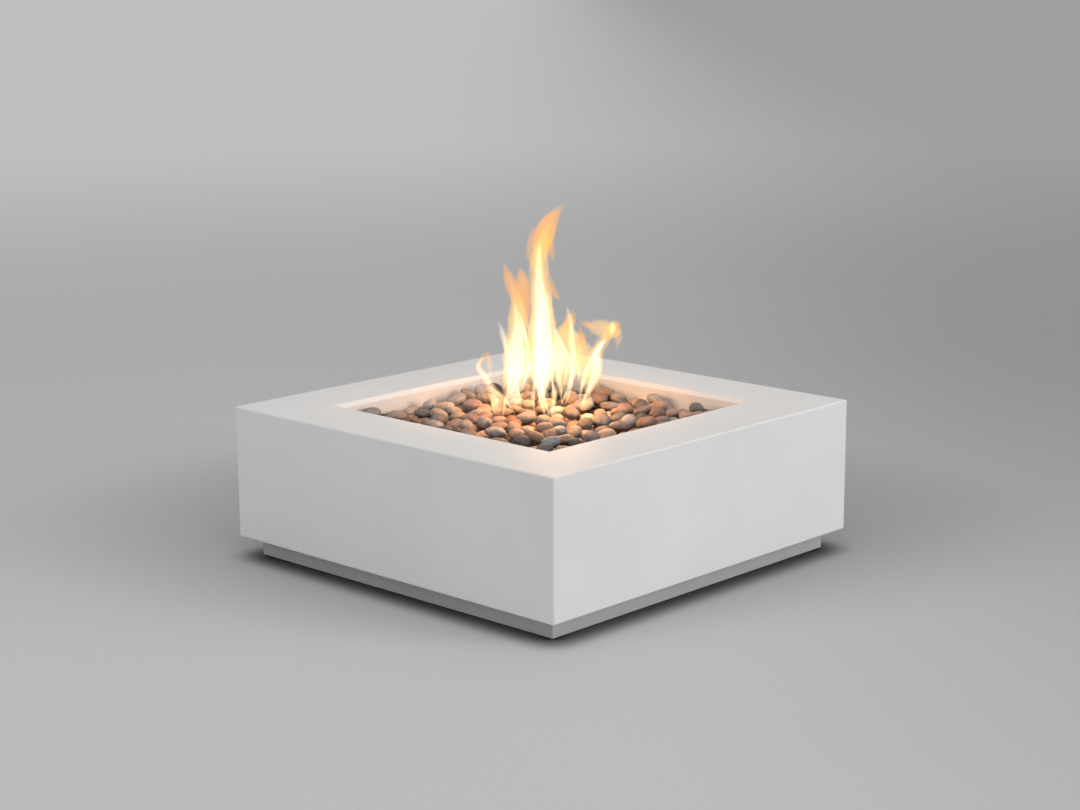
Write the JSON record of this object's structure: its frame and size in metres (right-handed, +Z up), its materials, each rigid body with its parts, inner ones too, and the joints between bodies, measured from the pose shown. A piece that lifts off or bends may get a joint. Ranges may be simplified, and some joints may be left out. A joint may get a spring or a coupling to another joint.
{
  "type": "fire pit table",
  "caption": "Low square gas fire pit table: smooth cast concrete shell on a recessed plinth, with a square fire pocket, ring burner, bed of rounded stones, control recess and service hatch.",
  "frame": {"origin": "on the floor, under the middle of the table", "axes": "+Z up; -Y and -X are the two sides that the picture shows (right and left); the service hatch is in the +Y side, and the control recess and the gas inlet are in the +X side"},
  "size_m": [1.067, 1.067, 0.381],
  "materials": {
    "concrete": "smooth cast, matt",
    "plinth_paint": "powder coat, matt",
    "stainless": "brushed",
    "zinc": "zinc plated",
    "black_iron": "black pipe",
    "brass": "machined",
    "rubber": "matt",
    "black_plastic": "moulded",
    "ceramic": "glazed",
    "lava": "rough, porous",
    "charcoal_stone": "tumbled, matt",
    "slate_stone": "tumbled, matt",
    "blue_grey_stone": "tumbled, matt",
    "grey_stone": "tumbled, matt",
    "taupe_stone": "tumbled, matt",
    "plum_stone": "tumbled, matt",
    "brown_stone": "tumbled, matt",
    "sand_stone": "tumbled, matt",
    "graphite_stone": "tumbled, matt",
    "ash_stone": "tumbled, matt",
    "umber_stone": "tumbled, matt",
    "clay_stone": "tumbled, matt"
  },
  "bodies": {
    "table": {"shell": "concrete", "plinth_frame": "plinth_paint", "plinth_bolts": "zinc", "foot_nuts": "zinc", "burner_pan": "stainless", "lava_bed": "lava", "burner_ring": "stainless", "burner_legs": "stainless", "burner_nipple": "black_iron", "pan_locknuts": "zinc", "air_mixer": "brass", "gas_orifice": "brass", "feed_riser": "black_iron", "burner_elbow": "black_iron", "supply_pipe": "black_iron", "valve_body": "brass", "packing_nut": "brass", "inlet_riser": "black_iron", "inlet_elbow": "black_iron", "inlet_pipe": "black_iron", "inlet_grommet": "rubber", "inlet_adapter": "brass", "control_tray": "stainless", "stem_bush": "brass", "igniter_body": "black_plastic", "igniter_bezel": "stainless", "electrode_insulator": "ceramic", "electrode_rod": "zinc", "hatch_frame": "stainless", "hinge_pins": "zinc", "hatch_magnet": "black_plastic", "stones_charcoal": "charcoal_stone", "stones_slate": "slate_stone", "stones_blue_grey": "blue_grey_stone", "stones_grey": "grey_stone", "stones_taupe": "taupe_stone", "stones_plum": "plum_stone", "stones_brown": "brown_stone", "stones_sand": "sand_stone", "stones_graphite": "graphite_stone", "stones_ash": "ash_stone", "stones_umber": "umber_stone", "stones_clay": "clay_stone"},
    "hatch": {"hatch_door": "stainless", "hatch_strike": "zinc", "hatch_pull": "black_plastic"},
    "knob": {"control_knob": "black_plastic", "valve_stem": "zinc", "valve_plug": "brass"},
    "button": {"igniter_button": "black_plastic"},
    "foot_front_left": {"foot_stud_front_left": "zinc", "foot_pad_front_left": "rubber"},
    "foot_front_right": {"foot_stud_front_right": "zinc", "foot_pad_front_right": "rubber"},
    "foot_back_left": {"foot_stud_back_left": "zinc", "foot_pad_back_left": "rubber"},
    "foot_back_right": {"foot_stud_back_right": "zinc", "foot_pad_back_right": "rubber"}
  },
  "joints": [
    {"name": "hatch_hinge", "type": "hinge", "parent": "table", "child": "hatch", "pos_m": [-0.142, 0.5285, 0.2125], "axis": [0, 0, 1], "range_deg": [0, 110]},
    {"name": "knob_turn", "type": "hinge", "parent": "table", "child": "knob", "pos_m": [0.5125, 0, 0.127], "axis": [1, 0, 0], "range_deg": [0, 240]},
    {"name": "button_press", "type": "slide", "parent": "table", "child": "button", "axis": [-1, 0, 0], "range_m": [0, 0.005], "stiffness_N_per_m": 600},
    {"name": "foot_front_left_screw", "type": "slide", "parent": "table", "child": "foot_front_left", "axis": [0, 0, -1], "range_m": [0, 0.012]},
    {"name": "foot_front_right_screw", "type": "slide", "parent": "table", "child": "foot_front_right", "axis": [0, 0, -1], "range_m": [0, 0.012]},
    {"name": "foot_back_left_screw", "type": "slide", "parent": "table", "child": "foot_back_left", "axis": [0, 0, -1], "range_m": [0, 0.012]},
    {"name": "foot_back_right_screw", "type": "slide", "parent": "table", "child": "foot_back_right", "axis": [0, 0, -1], "range_m": [0, 0.012]}
  ]
}
